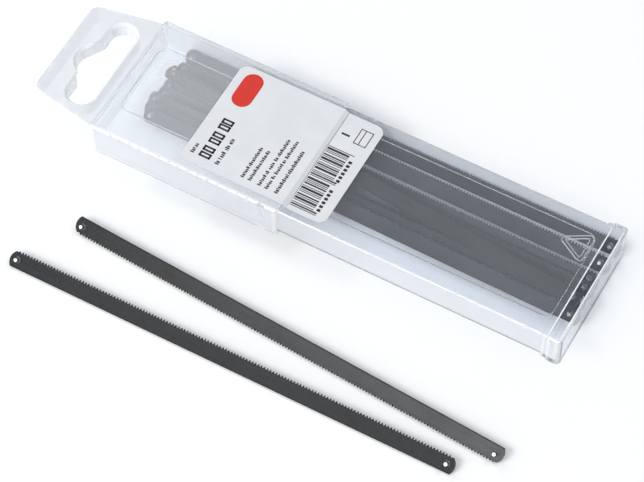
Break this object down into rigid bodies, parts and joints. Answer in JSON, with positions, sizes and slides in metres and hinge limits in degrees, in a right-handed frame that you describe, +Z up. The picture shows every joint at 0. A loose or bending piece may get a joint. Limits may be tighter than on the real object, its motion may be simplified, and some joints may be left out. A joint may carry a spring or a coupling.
{
  "type": "saw blade set",
  "caption": "Clear telescopic hanging case that holds slim pin-end saw blades, with two more of the blades lying loose in front of it.",
  "frame": {"origin": "centre of the bounding box of the case and the two loose blades, on the surface they rest on", "axes": "+X along the case from the hanging tab to the end flange, +Y from the loose blades towards the case, +Z up"},
  "size_m": [0.1839, 0.095, 0.0129],
  "materials": {
    "case_plastic": "milky clear polypropylene, glossy edges and satin faces",
    "label_paper": "satin white coated sticker",
    "blade_steel": "dark grey rolled spring steel with a fine lengthwise grain",
    "pin_steel": "bright cut wire ends, darker sides"
  },
  "bodies": {
    "tube_body": {"tube": "case_plastic", "label_tube_part": "label_paper"},
    "sleeve_body": {"sleeve": "case_plastic", "label_sleeve_part": "label_paper"},
    "case_blade_1_body": {"case_blade_1": "blade_steel", "case_pins_1": "pin_steel"},
    "case_blade_2_body": {"case_blade_2": "blade_steel", "case_pins_2": "pin_steel"},
    "case_blade_3_body": {"case_blade_3": "blade_steel", "case_pins_3": "pin_steel"},
    "case_blade_4_body": {"case_blade_4": "blade_steel", "case_pins_4": "pin_steel"},
    "case_blade_5_body": {"case_blade_5": "blade_steel", "case_pins_5": "pin_steel"},
    "case_blade_6_body": {"case_blade_6": "blade_steel", "case_pins_6": "pin_steel"},
    "case_blade_7_body": {"case_blade_7": "blade_steel", "case_pins_7": "pin_steel"},
    "case_blade_8_body": {"case_blade_8": "blade_steel", "case_pins_8": "pin_steel"},
    "loose_front_body": {"loose_blade_front": "blade_steel", "loose_pins_front": "pin_steel"},
    "loose_rear_body": {"loose_blade_rear": "blade_steel", "loose_pins_rear": "pin_steel"}
  },
  "joints": [
    {"name": "case_slide", "type": "slide", "parent": "tube_body", "child": "sleeve_body", "axis": [-1, 0, 0], "range_m": [0, 0.08]},
    {"name": "case_blade_1_slide", "type": "slide", "parent": "tube_body", "child": "case_blade_1_body", "axis": [-1, 0, 0], "range_m": [0, 0.006]},
    {"name": "case_blade_2_slide", "type": "slide", "parent": "tube_body", "child": "case_blade_2_body", "axis": [-1, 0.0087, 0], "range_m": [0, 0.006]},
    {"name": "case_blade_3_slide", "type": "slide", "parent": "tube_body", "child": "case_blade_3_body", "axis": [-1, 0.0049, 0], "range_m": [0, 0.006]},
    {"name": "case_blade_4_slide", "type": "slide", "parent": "tube_body", "child": "case_blade_4_body", "axis": [-1, 0.0049, 0], "range_m": [0, 0.006]},
    {"name": "case_blade_5_slide", "type": "slide", "parent": "tube_body", "child": "case_blade_5_body", "axis": [-1, 0.0049, 0], "range_m": [0, 0.006]},
    {"name": "case_blade_6_slide", "type": "slide", "parent": "tube_body", "child": "case_blade_6_body", "axis": [-1, 0.0049, 0], "range_m": [0, 0.006]},
    {"name": "case_blade_7_slide", "type": "slide", "parent": "tube_body", "child": "case_blade_7_body", "axis": [-1, 0.0049, 0], "range_m": [0, 0.006]},
    {"name": "case_blade_8_slide", "type": "slide", "parent": "tube_body", "child": "case_blade_8_body", "axis": [-0.9945, 0.1045, 0], "range_m": [0, 0.006]},
    {"name": "loose_front_lift", "type": "slide", "parent": "tube_body", "child": "loose_front_body", "axis": [0, 0, 1], "range_m": [0, 0.03]},
    {"name": "loose_rear_lift", "type": "slide", "parent": "tube_body", "child": "loose_rear_body", "axis": [0, 0, 1], "range_m": [0, 0.03]}
  ]
}
